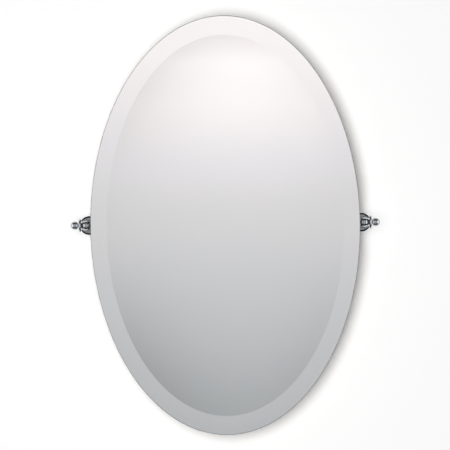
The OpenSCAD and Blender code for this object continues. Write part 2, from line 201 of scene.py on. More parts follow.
def add(tree, kind, inputs=None, out=0, **settings):
    """Adds a shader node and gives back one of its outputs. An input is a number, a hex colour,
    or another node's output, which is linked to it."""
    node = tree.nodes.new("ShaderNode" + kind)
    for name, value in settings.items():
        setattr(node, name, value)
    for socket, value in (inputs or {}).items():
        if isinstance(value, bpy.types.NodeSocket):
            tree.links.new(value, node.inputs[socket])
        else:
            node.inputs[socket].default_value = linear(value) if isinstance(value, str) else value
    return node.outputs[out] if node.outputs else None


def material_of(name, surface_of):
    """A new material, whose surface a function makes on Object coordinates."""
    material = bpy.data.materials.new(name)
    material.use_nodes = True
    tree = material.node_tree
    tree.nodes.clear()
    where = add(tree, "TexCoord", out="Object")
    add(tree, "OutputMaterial", {"Surface": surface_of(tree, where)})
    return material


# ---------------------------------------------------------------- materials
def buffed_chrome(tree, where):
    """Chromium plate on buffed brass: a cold grey mirror with the faintest polishing swirl, which
    is drawn coarser than the real one, or it wouldn't show."""
    cloud = add(tree, "TexNoise", {"Vector": where, "Scale": 1 / (6 * MM), "Detail": 4})
    swirl = add(tree, "TexNoise", {"Vector": where, "Scale": 1 / (0.25 * MM), "Detail": 2})
    return add(tree, "BsdfPrincipled", {
        "Metallic": 1.0,
        "Base Color": add(tree, "Mix", {0: cloud, 6: "#CFD2D6", 7: "#DDDFE2"}, 2, data_type="RGBA"),
        "Roughness": add(tree, "MapRange", {0: swirl, **SPREAD, "To Min": 0.035, "To Max": 0.075}),
        "Normal": add(tree, "Bump", {"Height": swirl, "Strength": 0.15, "Distance": 0.004 * MM}),
    })


def silvered_face(tree, where):
    """Wet-chemical silver seen through the glass: a nearly perfect mirror, slightly cool."""
    haze = add(tree, "TexNoise", {"Vector": where, "Scale": 1 / (80 * MM), "Detail": 2})
    return add(tree, "BsdfPrincipled", {
        "Metallic": 1.0,
        "Base Color": add(tree, "Mix", {0: haze, 6: "#F9F9F9", 7: "#FBFBFB"}, 2, data_type="RGBA"),
        "Roughness": add(tree, "MapRange", {0: haze, **SPREAD, "To Min": 0.0, "To Max": 0.006}),
    })


def backing_paint(tree, where):
    """Grey mirror-backing paint under a thin safety film: even, satin, with roller texture."""
    cloud = add(tree, "TexNoise", {"Vector": where, "Scale": 1 / (30 * MM), "Detail": 4})
    roller = add(tree, "TexNoise", {"Vector": where, "Scale": 1 / (1.2 * MM), "Detail": 3})
    return add(tree, "BsdfPrincipled", {
        "Roughness": 0.45,
        "Base Color": add(tree, "Mix", {0: cloud, 6: "#6F7573", 7: "#7D8381"}, 2, data_type="RGBA"),
        "Normal": add(tree, "Bump", {"Height": roller, "Strength": 0.35, "Distance": 0.05 * MM}),
    })


def float_glass(tree, where):
    """Clear float glass with a ground and polished bevel, without a tint to speak of."""
    streak = add(tree, "TexNoise", {"Vector": where, "Scale": 1 / (60 * MM), "Detail": 1})
    return add(tree, "BsdfPrincipled", {
        "IOR": 1.52, "Transmission Weight": 1.0, "Roughness": 0.0,
        "Base Color": add(tree, "Mix", {0: streak, 6: "#FDFEFE", 7: "#FEFEFE"}, 2,
                          data_type="RGBA"),
    })


def ground_glass(tree, where):
    """The glass's rim and arrises, ground and only dully polished: grey-green and hazy."""
    wheel = add(tree, "TexNoise", {"Vector": where, "Scale": 1 / (1.5 * MM), "Detail": 4})
    return add(tree, "BsdfPrincipled", {
        "IOR": 1.52, "Transmission Weight": 0.6,
        "Base Color": add(tree, "Mix", {0: wheel, 6: "#4E5A55", 7: "#66726D"}, 2, data_type="RGBA"),
        "Roughness": add(tree, "MapRange", {0: wheel, **SPREAD, "To Min": 0.35, "To Max": 0.5}),
    })


def fibreboard(tree, where):
    """Sanded medium-density fibreboard: warm brown, with short matted fibres and dust specks."""
    fibres = add(tree, "TexNoise", {"Vector": where, "Scale": 1 / (0.9 * MM), "Detail": 6,
                                    "Roughness": 0.7})
    patches = add(tree, "TexNoise", {"Vector": where, "Scale": 1 / (14 * MM), "Detail": 3})
    matted = add(tree, "Math", {0: fibres, 1: patches, 2: 0.15}, operation="MULTIPLY_ADD")
    return add(tree, "BsdfPrincipled", {
        "Roughness": 0.85,
        "Base Color": add(tree, "Mix", {0: matted, 6: "#85735E", 7: "#B5A289"}, 2,
                          data_type="RGBA"),
        "Normal": add(tree, "Bump", {"Height": fibres, "Strength": 0.5, "Distance": 0.08 * MM}),
    })


def foam_tape(tree, where):
    """White closed-cell polyethylene foam tape: matt, with pinhead cells on its cut edges, drawn
    coarser than the real ones so that they show."""
    cells = add(tree, "TexVoronoi", {"Vector": where, "Scale": 1 / (0.5 * MM)}, "Distance")
    return add(tree, "BsdfPrincipled", {
        "Roughness": 0.8,
        "Base Color": add(tree, "Mix", {0: cells, 6: "#D9D8D2", 7: "#F1F0EC"}, 2, data_type="RGBA"),
        "Normal": add(tree, "Bump", {"Height": cells, "Strength": 0.6, "Distance": 0.1 * MM}),
    })


def soft_bumper(tree, where):
    """Clear cast polyurethane bumper: a soft grey gel look with dust on its crown."""
    dust = add(tree, "TexNoise", {"Vector": where, "Scale": 1 / (0.6 * MM), "Detail": 3})
    return add(tree, "BsdfPrincipled", {
        "IOR": 1.5, "Transmission Weight": 0.55,
        "Base Color": add(tree, "Mix", {0: dust, 6: "#D8D8D4", 7: "#EFEFEC"}, 2, data_type="RGBA"),
        "Roughness": add(tree, "MapRange", {0: dust, **SPREAD, "To Min": 0.18, "To Max": 0.4}),
    })


def zinc_plate(tree, where):
    """Bright zinc plate on pressed steel: bluish grey, with faint rolling lines and a mottle."""
    along = add(tree, "Mapping", {"Vector": where, "Scale": (1, 1, 0.1)})
    lines = add(tree, "TexNoise", {"Vector": along, "Scale": 1 / (0.2 * MM), "Detail": 2})
    mottle = add(tree, "TexNoise", {"Vector": where, "Scale": 1 / (4 * MM), "Detail": 4,
                                    "Roughness": 0.6})
    return add(tree, "BsdfPrincipled", {
        "Metallic": 1.0,
        "Base Color": add(tree, "Mix", {0: mottle, 6: "#ACB0B4", 7: "#CBCDCC"}, 2,
                          data_type="RGBA"),
        "Roughness": add(tree, "MapRange", {0: mottle, **SPREAD, "To Min": 0.27, "To Max": 0.38}),
        "Normal": add(tree, "Bump", {"Height": lines, "Strength": 0.15, "Distance": 0.005 * MM}),
    })


def black_oxide(tree, where):
    """Black-oxide alloy steel of the set screws: near black with an oily satin sheen."""
    oil = add(tree, "TexNoise", {"Vector": where, "Scale": 1 / (0.8 * MM), "Detail": 3})
    return add(tree, "BsdfPrincipled", {
        "Metallic": 0.6,
        "Base Color": add(tree, "Mix", {0: oil, 6: "#17181A", 7: "#26272A"}, 2, data_type="RGBA"),
        "Roughness": add(tree, "MapRange", {0: oil, **SPREAD, "To Min": 0.3, "To Max": 0.5}),
    })


def black_nylon(tree, where):
    """Moulded black nylon washers: matt, with a faint greyish bloom."""
    bloom = add(tree, "TexNoise", {"Vector": where, "Scale": 1 / (0.7 * MM), "Detail": 4})
    return add(tree, "BsdfPrincipled", {
        "Base Color": add(tree, "Mix", {0: bloom, 6: "#0D0D0E", 7: "#1E1E1F"}, 2, data_type="RGBA"),
        "Roughness": add(tree, "MapRange", {0: bloom, **SPREAD, "To Min": 0.4, "To Max": 0.62}),
    })


def edge_paint(tree, where):
    """Matt black paint brushed on the board's rim, so that it doesn't show from the side."""
    brushed = add(tree, "TexNoise", {"Vector": where, "Scale": 1 / (2 * MM), "Detail": 4})
    return add(tree, "BsdfPrincipled", {
        "Roughness": 0.7,
        "Base Color": add(tree, "Mix", {0: brushed, 6: "#18181A", 7: "#2A2A2B"}, 2,
                          data_type="RGBA"),
        "Normal": add(tree, "Bump", {"Height": brushed, "Strength": 0.4, "Distance": 0.05 * MM}),
    })


chrome = material_of("chrome_plated_buffed_brass", buffed_chrome)
silver = material_of("silvered_mirror_face", silvered_face)
back_paint = material_of("mirror_backing_paint", backing_paint)
glass = material_of("clear_float_glass", float_glass)
glass_rim = material_of("ground_glass_rim", ground_glass)
board_finish = material_of("sanded_fibreboard", fibreboard)
rim_paint = material_of("black_edge_paint", edge_paint)
tape_finish = material_of("closed_cell_foam_tape", foam_tape)
bumper_finish = material_of("cast_polyurethane_bumper", soft_bumper)
zinc = material_of("zinc_plated_pressed_steel", zinc_plate)
black_steel = material_of("black_oxide_steel", black_oxide)
nylon = material_of("moulded_black_nylon", black_nylon)

# The nodes that show as they are in the frame; pieces made below replace the others
NODE_FINISH = {
    "mounting_tape": tape_finish, "bracket": zinc, "bracket_screws": zinc, "wall_plate": zinc,
    "post_screw": zinc, "spring_washer": zinc, "set_screw": black_steel,
}
for node_name, node_object in frame["nodes"].items():
    base = node_name.removesuffix("_left").removesuffix("_right")
    if base in NODE_FINISH:
        node_object.data.materials.clear()
        node_object.data.materials.append(NODE_FINISH[base])


# ---------------------------------------------------------------- the mirror
def two_finishes(bm, has_first):
    """Gives faces whose normal passes a test the first finish, and the others the second."""
    for face in bm.faces:
        face.material_index = 0 if has_first(face.normal) else 1
    return bm


def glass_pane():
    """The glass: ground rim and arrises, and the wide flat bevel that runs up to its face."""
    bm = loft_ovals([
        (glass_half_w - ARRIS, glass_half_h - ARRIS, glass_back),
        (glass_half_w, glass_half_h, glass_back - ARRIS),
        (glass_half_w, glass_half_h, glass_back - RIM_T + ARRIS),
        (glass_half_w - ARRIS, glass_half_h - ARRIS, glass_back - RIM_T),
        (glass_half_w - BEVEL_SIDE, glass_half_h - BEVEL_END, glass_front),
    ], segments=720)
    return two_finishes(bm, lambda normal: abs(normal.y) > FLAT_ON)


def silver_and_paint():
    """The silvering and, on its back and rim, the paint. Its face lies a skin off the glass."""
    skin = 0.02 * MM
    bm = loft_ovals([
        (glass_half_w - ARRIS, glass_half_h - ARRIS, silver_back),
        (glass_half_w - ARRIS, glass_half_h - ARRIS, glass_back + skin),
    ], segments=720)
    return two_finishes(bm, lambda normal: normal.y < -FLAT_ON)


def oval_board():
    """The fibreboard, with the edges of its back eased by sanding."""
    ease = 1.2 * MM
    bow = 0.3 * ease
    half_w, half_h = board_high.x, (board_high.z - board_low.z) / 2
    bm = loft_ovals([
        (half_w - ease, half_h - ease, board_high.y),
        (half_w - bow, half_h - bow, board_high.y - bow),
        (half_w, half_h, board_high.y - ease),
        (half_w, half_h, board_low.y),
    ], segments=360)
    return two_finishes(bm, lambda normal: abs(normal.y) > FLAT_ON)


piece("oval_glass_pane", glass_pane(), "mirror", [glass, glass_rim],
      ["mirror_glass"], sharp=1.5)
piece("silvered_back", silver_and_paint(), "mirror", [silver, back_paint],
      ["silvering"])
piece("fibreboard_back", oval_board(), "mirror", [board_finish, rim_paint],
      ["backing_board"])


def bumpers():
    """Four stick-on bumpers: flat domes with a rounded crown."""
    b = BUMPER
    height = (bumper_high.y - bumper_low.y) / MM
    outline = ([(0, 0), (b["r"] - b["foot_in"], 0), (b["r"], b["foot_h"])]
               + arc((b["r"] - b["crown_r"], height - b["crown_r"]), b["crown_r"], 0, 90, steps=8)
               + [(0, height)])
    in_by = b["r"] * MM
    bm = bmesh.new()
    for x in (bumper_low.x + in_by, bumper_high.x - in_by):
        for z in (bumper_low.z + in_by, bumper_high.z - in_by):
            one = place(lathe(outline, steps=48), Matrix.Rotation(-QUARTER_TURN, 4, "X"),
                        Matrix.Translation((x, bumper_low.y, z)))
            mesh = bpy.data.meshes.new("bumper")
            one.to_mesh(mesh)
            one.free()
            bm.from_mesh(mesh)
            bpy.data.meshes.remove(mesh)
    return bm


piece("wall_bumper_domes", bumpers(), "mirror", [bumper_finish], ["wall_bumpers"])


# ---------------------------------------------------------------- posts, flanges and finials
ring_at = FLANGE["skirt_r"] - FLANGE["quirk"] - FLANGE["ring_r"]
cove_at = ring_at - FLANGE["quirk"]
cove_r = cove_at - POST["foot_r"]
flange_h = FLANGE["skirt_h"] + FLANGE["ring_sink"] + cove_r


def flange_outline():
    """The turned flange: rim, skirt, ring, cove and the cup in its back."""
    f = FLANGE
    slope = math.atan2(f["skirt_h"] - f["rim_h"], f["rim_r"] - f["skirt_r"])
    ease_in, ease_up = f["chamfer"] * math.cos(slope), f["chamfer"] * math.sin(slope)
    cove = arc((cove_at, flange_h), cove_r, 270, 180, steps=32)
    ring = arc((ring_at, f["skirt_h"]), f["ring_r"], 0, 180, steps=32)
    # the cove starts where it comes out of the ring
    clear = [p for p in cove if math.dist(p, (ring_at, f["skirt_h"])) > f["ring_r"]]
    shown = [p for p in ring if p[0] > clear[0][0]]
    return ([(f["cup_r"], 0), (f["rim_r"], 0), (f["rim_r"], f["rim_h"] - f["chamfer"]),
             (f["rim_r"] - ease_in, f["rim_h"] + ease_up), (f["skirt_r"], f["skirt_h"])]
            + shown + clear
            + [(f["bore"], flange_h), (f["bore"], f["core_depth"]), (f["core_r"], f["core_depth"]),
               (f["core_r"], f["cup_depth"]), (f["cup_r"], f["cup_depth"])])


def post_outline():
    """The turned post: screw bore, foot, scotia, waisted stem, bead and ball head."""
    p = POST
    foot_end = flange_h + p["foot_t"]
    foot_in = p["foot_r"] - p["edge"]
    scotia = foot_in - p["stem_r"]
    axis_h = -axis_y / MM
    bead_end = axis_h - p["head_r"] - p["bead_gap"]
    bead_round = p["bead_t"] / 2
    # the waist is an arc that sags between the scotia and the bead
    waist_low, waist_high = foot_end + scotia, bead_end - p["bead_t"]
    half = (waist_high - waist_low) / 2
    sag = p["stem_r"] - p["waist_r"]
    curve = (half ** 2 / sag + sag) / 2
    swing = math.degrees(math.asin(half / curve))
    neck = math.degrees(math.acos(p["stem_r"] / p["head_r"]))
    return ([(0, flange_h + p["bore_depth"]), (p["bore"], flange_h + p["bore_depth"]),
             (p["bore"], flange_h), (p["foot_r"], flange_h)]
            + arc((foot_in, foot_end - p["edge"]), p["edge"], 0, 90, steps=10)
            + arc((foot_in, foot_end + scotia), scotia, 270, 180, steps=12)
            + arc((p["waist_r"] + curve, waist_low + half), curve, 180 + swing, 180 - swing,
                  steps=20)
            + arc((p["bead_r"] - bead_round, bead_end - bead_round), bead_round, -90, 90, steps=16)
            + [(p["stem_r"], bead_end)]
            + arc((0, axis_h), p["head_r"], -neck, 90, steps=64))


def finial_outline():
    """The turned finial: stud bore, spigot, rounded collar, neck and ball."""
    f = FINIAL
    lip = f["collar_t"] / 2
    collar_mid = f["collar_at"] + lip
    ball_at = f["neck_end"] + math.sqrt(f["ball_r"] ** 2 - f["neck_r"] ** 2)
    neck = math.degrees(math.acos(f["neck_r"] / f["ball_r"]))
    return ([(0, f["bore_end"]), (f["bore"], f["bore_end"]), (f["bore"], f["start"]),
             (f["spigot_r"], f["start"]), (f["spigot_r"], f["collar_at"])]
            + arc((f["collar_r"] - lip, collar_mid), lip, -90, 90, steps=16)
            + [(f["neck_r"], f["collar_at"] + f["collar_t"])]
            + arc((0, ball_at), f["ball_r"], -neck, 90, steps=64))


def washer_outline(start_at, thickness):
    """A washer with its outer edges eased."""
    inner, outer, ease = POST["cross_bore"], FINIAL["spigot_r"], 0.15
    end = start_at + thickness
    return [(inner, start_at), (outer - ease, start_at), (outer, start_at + ease),
            (outer, end - ease), (outer - ease, end), (inner, end)]


def cut_head(bm):
    """Cuts the ball head's two flats and the cross bore between them. The pivot lies along X."""
    rims = []
    head_from = axis_y + POST["head_r"] * MM
    for side in (-1, 1):
        head = [v for v in bm.verts if v.co.y < head_from]
        in_head = set(head)
        for part in bm.edges[:] + bm.faces[:]:
            if all(v in in_head for v in part.verts):
                head.append(part)
        cut = bmesh.ops.bisect_plane(bm, geom=head, plane_co=(side * POST["flat"] * MM, 0, 0),
                                     plane_no=(side, 0, 0), clear_outer=True, dist=ON_PLANE)
        edges = [e for e in cut["geom_cut"] if isinstance(e, bmesh.types.BMEdge)]
        face = bmesh.ops.edgeloop_fill(bm, edges=edges)["faces"][0]
        flat_r = math.sqrt(POST["head_r"] ** 2 - POST["flat"] ** 2)
        bmesh.ops.inset_individual(bm, faces=[face], thickness=(flat_r - POST["cross_bore"]) * MM,
                                   use_even_offset=True)
        rims += face.edges[:]
        bmesh.ops.delete(bm, geom=[face], context="FACES_ONLY")
    bmesh.ops.bridge_loops(bm, edges=rims)
    bmesh.ops.recalc_face_normals(bm, faces=bm.faces)
    return bm


def screw_mouth(bm, radius):
    """Opens a round mouth for the set screw in the underside of a flange's upright face."""
    hole_r, at, margin = FLANGE["hole_r"] * MM, FLANGE["hole_at"] * MM, 0.2 * MM
    off_face = 0.01 * MM
    patch = []
    for face in bm.faces:
        mid = face.calc_center_median()
        upright = all(abs(v.co.xy.length - radius) < off_face for v in face.verts)
        near = abs(mid.x) < hole_r + margin and abs(mid.z - at) < hole_r + margin
        if upright and near and mid.y < 0:
            patch.append(face)
    inside = set(patch)
    border = [e for e in bm.edges if len(inside & set(e.link_faces)) == 1]
    bmesh.ops.delete(bm, geom=patch, context="FACES")
    faced_down = Matrix.Translation((0, -radius, at)) @ Matrix.Rotation(QUARTER_TURN, 4, "X")
    mouth = bmesh.ops.create_circle(bm, segments=36, radius=hole_r, matrix=faced_down)["verts"]
    for vert in mouth:
        vert.co.y = -math.sqrt(radius ** 2 - vert.co.x ** 2)
    on_mouth = set(mouth)
    rim = [e for e in bm.edges if all(v in on_mouth for v in e.verts)]
    bmesh.ops.bridge_loops(bm, edges=border + rim)
    return rim


def drill_rim(bm):
    """Drills the hole for the set screw through the flange's rim, on its underside."""
    mouths = screw_mouth(bm, FLANGE["rim_r"] * MM) + screw_mouth(bm, FLANGE["cup_r"] * MM)
    bmesh.ops.bridge_loops(bm, edges=mouths)
    bmesh.ops.recalc_face_normals(bm, faces=bm.faces)
    return bm


# Lathe work stands along Z: out of the wall for posts and flanges, outboard for finials
out_of_wall = Matrix.Rotation(QUARTER_TURN, 4, "X")
for side_name, side in SIDES.items():
    outboard = Matrix.Rotation(QUARTER_TURN * side, 4, "Y")
    to_post = Matrix.Translation((side * post_x, 0, 0))
    to_pivot = Matrix.Translation((side * post_x, axis_y, 0))

    flange = drill_rim(lathe(flange_outline(), closed=True, soften=0.15))
    place(flange, out_of_wall, to_post)
    piece(f"wall_flange_{side_name}", flange, "wall_mounts", [chrome],
          [f"flange_{side_name}"], sharp=40)
    post = cut_head(place(lathe(post_outline(), soften=0.12), out_of_wall))
    piece(f"turned_post_{side_name}", place(post, to_post), "wall_mounts", [chrome],
          [f"post_{side_name}"], sharp=40)
    finial = place(lathe(finial_outline(), soften=0.12), outboard, to_pivot)
    piece(f"ball_finial_{side_name}", finial, f"finial_{side_name}", [chrome],
          [f"finial_{side_name}"], sharp=40)
    for where, start_at in (("inner", -FINIAL["start"]), ("outer", POST["flat"])):
        outline = washer_outline(start_at, FINIAL["start"] - POST["flat"])
        ring = place(lathe(outline, steps=64, closed=True), outboard, to_pivot)
        piece(f"{where}_nylon_washer_{side_name}", ring, "wall_mounts", [nylon],
              [f"{where}_washer_{side_name}"])


# ---------------------------------------------------------------- fasteners
def cap_cut(bm, at, facing):
    """Cuts a mesh off at a plane and closes the cut."""
    cut = bmesh.ops.bisect_plane(bm, geom=bm.verts[:] + bm.edges[:] + bm.faces[:], plane_co=at,
                                 plane_no=facing, clear_outer=True, dist=ON_PLANE)["geom_cut"]
    bmesh.ops.edgeloop_fill(bm, edges=[e for e in cut if isinstance(e, bmesh.types.BMEdge)])


def threaded_stud(length_mm):
    """A rolled thread along Z: a row of teeth, swept round while it climbs one pitch."""
    pitch, steps, weld = STUD["pitch"], 48, 0.001 * MM
    teeth = math.ceil(length_mm / pitch) + 2
    outline = [(STUD[radius], (tooth + part) * pitch)
               for tooth in range(-1, teeth) for part, radius in TOOTH]
    outline.append((STUD["root_r"], teeth * pitch))
    bm = bmesh.new()
    verts = [bm.verts.new((r * MM, 0, h * MM)) for r, h in outline]
    edges = [bm.edges.new(pair) for pair in zip(verts, verts[1:])]
    bmesh.ops.spin(bm, geom=verts + edges, cent=(0, 0, 0), axis=(0, 0, 1),
                   dvec=(0, 0, pitch * MM / steps), angle=FULL_TURN, steps=steps, use_merge=False)
    bmesh.ops.remove_doubles(bm, verts=bm.verts, dist=weld)
    cap_cut(bm, (0, 0, 0), (0, 0, -1))
    cap_cut(bm, (0, 0, length_mm * MM), (0, 0, 1))
    # the inboard end is chamfered, so that the stud starts easily in its nut
    for vert in bm.verts:
        widest = (STUD["crest_r"] - STUD["chamfer"]) * MM + vert.co.z
        radius = vert.co.xy.length
        if radius > widest:
            vert.co.x, vert.co.y = vert.co.x * widest / radius, vert.co.y * widest / radius
    bmesh.ops.recalc_face_normals(bm, faces=bm.faces)
    return bm


def hexagon_nut():
    """A hexagon nut along Z: a turned blank with both ends chamfered, cut flat on six sides."""
    flat, height, bore, mouth = NUT["across_flats"] / 2, NUT["height"], NUT["bore"], NUT["mouth"]
    end_r, chamfer_angle = NUT["end_share"] * flat, math.radians(30)
    corner = flat / math.cos(math.radians(30))
    rise = (corner - end_r) * math.tan(chamfer_angle)
    bm = lathe([(bore + mouth, 0), (end_r, 0), (corner, rise), (corner, height - rise),
                (end_r, height), (bore + mouth, height), (bore, height - mouth), (bore, mouth)],
               steps=96, closed=True)
    for side in range(6):
        turn = math.radians(30 + 60 * side)
        facing = Vector((math.cos(turn), math.sin(turn), 0))
        cap_cut(bm, facing * flat * MM, facing)
    bmesh.ops.recalc_face_normals(bm, faces=bm.faces)
    return bm


for side_name, side in SIDES.items():
    outboard = Matrix.Rotation(QUARTER_TURN * side, 4, "Y")
    stud_low, stud_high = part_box(f"pivot_stud_{side_name}")
    stud_start = min(abs(stud_low.x), abs(stud_high.x))
    to_start = Matrix.Translation((side * stud_start, axis_y, 0))
    stud = threaded_stud((stud_high.x - stud_low.x) / MM)
    piece(f"threaded_stud_{side_name}", place(stud, outboard, to_start), f"finial_{side_name}",
          [zinc], [f"pivot_stud_{side_name}"], sharp=35)
    nut_low, nut_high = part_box(f"weld_nut_{side_name}")
    nut_start = min(abs(nut_low.x), abs(nut_high.x))
    to_start = Matrix.Translation((side * nut_start, axis_y, 0))
    piece(f"hexagon_weld_nut_{side_name}", place(hexagon_nut(), outboard, to_start), "mirror",
          [zinc], [f"weld_nut_{side_name}"], sharp=20)


# ---------------------------------------------------------------- the studio
STAGE_R = 2.2
STAGE_FADE = {"From Min": 1.5, "From Max": 2.1}
WALL_GAP = 0.3 * MM
FLOOR_AT = (0, -0.2, -1.35)
# On the wall, a reach of 1 is the edge of the mirror as it is seen from straight in front
# Painted shade: a cool blue-grey patch on the wall behind the mirror, where the mirror's shadow
# falls
PAINTED_SHADE = {"colour": "#B4C2D6", "reach": {"From Min": 0.88, "From Max": 0.98}}
# Painted reflection of the wall in metal: a painted shadow dark behind the glass, pale beyond it
PAINTED_REFLECTION = {"behind": "#2A2B2D", "beyond": "#E0E0E0", "reach": {"From Min": 0.9, "From Max": 1.1}}
GLOW = {"most": 0.75, "at": (0.262, 0, 0), "from_post": {"From Min": 0.03, "From Max": 0.065},
        "reach": {"From Min": 1.05, "From Max": 1.14}}


def white_paint(tree, where):
    """The colour of matt white paint, rolled on."""
    rolled = add(tree, "TexNoise", {"Vector": where, "Scale": 1 / (3 * MM), "Detail": 2})
    return add(tree, "Mix", {0: rolled, 6: "#FCFCFC", 7: "#FEFEFE"}, 2, data_type="RGBA")


def faded(tree, where, paint):
    """Paint seen from the front only, that fades out towards the edge of its disc."""
    clear = add(tree, "BsdfTransparent")
    from_middle = add(tree, "VectorMath", {0: where}, "Value", operation="LENGTH")
    far_out = add(tree, "MapRange", {0: from_middle, **STAGE_FADE})
    behind = add(tree, "NewGeometry", out="Backfacing")
    unseen = add(tree, "Math", {0: far_out, 1: behind}, operation="MAXIMUM")
    return add(tree, "MixShader", {0: unseen, 1: paint, 2: clear})


def floor_surface(tree, where):
    """The floor: matt white paint."""
    return faded(tree, where, add(tree, "BsdfDiffuse", {"Color": white_paint(tree, where)}))


def wall_surface(tree, where):
    """The wall: matt white paint, with painted shade behind the mirror, a painted glow beside the
    posts, and a painted reflection of the wall for metal.
    """
    oval = add(tree, "VectorMath", {0: where, 1: (1 / glass_half_w, 1 / glass_half_h, 0)},
               operation="MULTIPLY")
    reach = add(tree, "VectorMath", {0: oval}, "Value", operation="LENGTH")
    # painted shade: a cool blue-grey patch on the wall behind the mirror, where its shadow falls,
    # deepens that shadow and takes the board's brown bounce light out of it
    patch = add(tree, "MapRange", {0: reach, **PAINTED_SHADE["reach"], "To Min": 1, "To Max": 0})
    colour = add(tree, "Mix", {0: patch, 6: white_paint(tree, where), 7: PAINTED_SHADE["colour"]}, 2,
                 data_type="RGBA")
    paint = add(tree, "BsdfDiffuse", {"Color": colour})
    # beside the mirror the camera sees part of the white as a glow, which pales the posts' shadow
    either_side = add(tree, "VectorMath", {0: where}, operation="ABSOLUTE")
    from_post = add(tree, "VectorMath", {0: either_side, 1: GLOW["at"]}, "Value",
                    operation="DISTANCE")
    near_post = add(tree, "MapRange", {0: from_post, **GLOW["from_post"], "To Min": GLOW["most"],
                                       "To Max": 0})
    outside = add(tree, "MapRange", {0: reach, **GLOW["reach"]})
    glow = add(tree, "LightPath", out="Is Camera Ray")
    for share in (near_post, outside):
        glow = add(tree, "Math", {0: glow, 1: share}, operation="MULTIPLY")
    white = add(tree, "Emission", {"Color": "#FFFFFF"})
    paint = add(tree, "MixShader", {0: glow, 1: paint, 2: white})
    # painted reflection: to glossy rays the wall glows a fixed tone instead of its lit paint, with
    # a painted shadow dark behind the glass and pale beyond it
    beyond = add(tree, "MapRange", {0: reach, **PAINTED_REFLECTION["reach"]})
    tone = add(tree, "Mix", {0: beyond, 6: PAINTED_REFLECTION["behind"], 7: PAINTED_REFLECTION["beyond"]}, 2,
               data_type="RGBA")
    painted_reflection = add(tree, "Emission", {"Color": tone})
    in_metal = add(tree, "LightPath", out="Is Glossy Ray")
    return faded(tree, where, add(tree, "MixShader", {0: in_metal, 1: paint, 2: painted_reflection}))


def disc(name, matrix, surface_name, surface_of):
    """A round stage surface, made flat and then placed."""
    bm = bmesh.new()
    bmesh.ops.create_circle(bm, cap_ends=True, segments=128, radius=STAGE_R)
    made = to_object(name, bm, [material_of(surface_name, surface_of)])
    made.matrix_world = matrix
    made.visible_shadow = False
    return made


# the wall stands just off the backs of the plates and flanges, so that neither hides the other
disc("studio_wall", Matrix.Translation((0, WALL_GAP, 0)) @ Matrix.Rotation(QUARTER_TURN, 4, "X"),
     "matt_white_wall", wall_surface)
floor = disc("studio_floor", Matrix.Translation(FLOOR_AT), "matt_white_floor", floor_surface)
floor.visible_glossy = floor.visible_transmission = floor.visible_diffuse = False


# What the mirror shows to the camera: light that falls from white above to grey below, over this
# part of a direction's Z. It dims with the square of the way aside from a line just right of the
# middle, faster towards the ends of the glass than at its middle
FALL = ((0.0, "#A2A5A6"), (0.2, "#BBBCBE"), (0.36, "#C9C9CB"), (0.55, "#D9D7D8"),
        (0.66, "#E7E4E6"), (0.8, "#FCF6F6"), (0.91, "#FFFAF9"), (0.98, "#EEE8E7"))
FALL_OVER = {"From Min": -0.15, "From Max": 0.15}
DIM = {"side": 0.015, "middle": 7.0, "ends": 2800.0, "most": 0.4}
# The rest of the room is laid out in shares of a polished ball's radius
BEYOND = {"From Min": 0.09, "From Max": 0.14}
GREY = {"colour": "#A2A3A5", "wide": 0.24, "tall": 0.47,
        "reach": {"From Min": 0.88, "From Max": 1.12}}
DARK = "#08090A"
WINDOW = {"colour": "#FFFFFF", "across": {"From Min": 0.28, "From Max": 0.34},
          "high": {"From Min": 0.28, "From Max": 0.36}}
# What the mirror shows from the side: a softly blurred room that pales with a direction's rise
PALE = {"low": "#A6ABAE", "high": "#FBF9F8", "rise": 0.45, "blur": 0.3,
        "over": {"From Min": 0.0, "From Max": 0.95}}
# The silvering and the glass show 0.92 of what they mirror, which this makes up for
ROOM_STRENGTH = 1.087
ROOM_R = 9


def falling_light(tree, sideways, up):
    """What the mirror shows to the camera: from white above to grey below, dimming to its sides
    and sooner near its top and bottom."""
    fall = add(tree, "ValToRGB", {0: add(tree, "MapRange", {0: up, **FALL_OVER})})
    ramp = fall.node.color_ramp.elements
    ramp[0].position, ramp[0].color = FALL[0][0], linear(FALL[0][1])
    ramp[1].position, ramp[1].color = FALL[-1][0], linear(FALL[-1][1])
    for position, colour in FALL[1:-1]:
        ramp.new(position).color = linear(colour)
    aside = add(tree, "Math", {0: sideways, 1: DIM["side"]}, operation="SUBTRACT")
    aside = add(tree, "Math", {0: aside, 1: 2.0}, operation="POWER")
    tall = add(tree, "Math", {0: up, 1: 2.0}, operation="POWER")
    dim = add(tree, "Math", {0: tall, 1: DIM["ends"], 2: DIM["middle"]}, operation="MULTIPLY_ADD")
    loss = add(tree, "Math", {0: aside, 1: dim}, operation="MULTIPLY")
    share = add(tree, "MapRange", {0: loss, "From Min": 0, "From Max": DIM["most"],
                                   "To Min": 1, "To Max": 1 - DIM["most"]})
    return add(tree, "VectorMath", {0: fall, "Scale": share}, operation="SCALE")


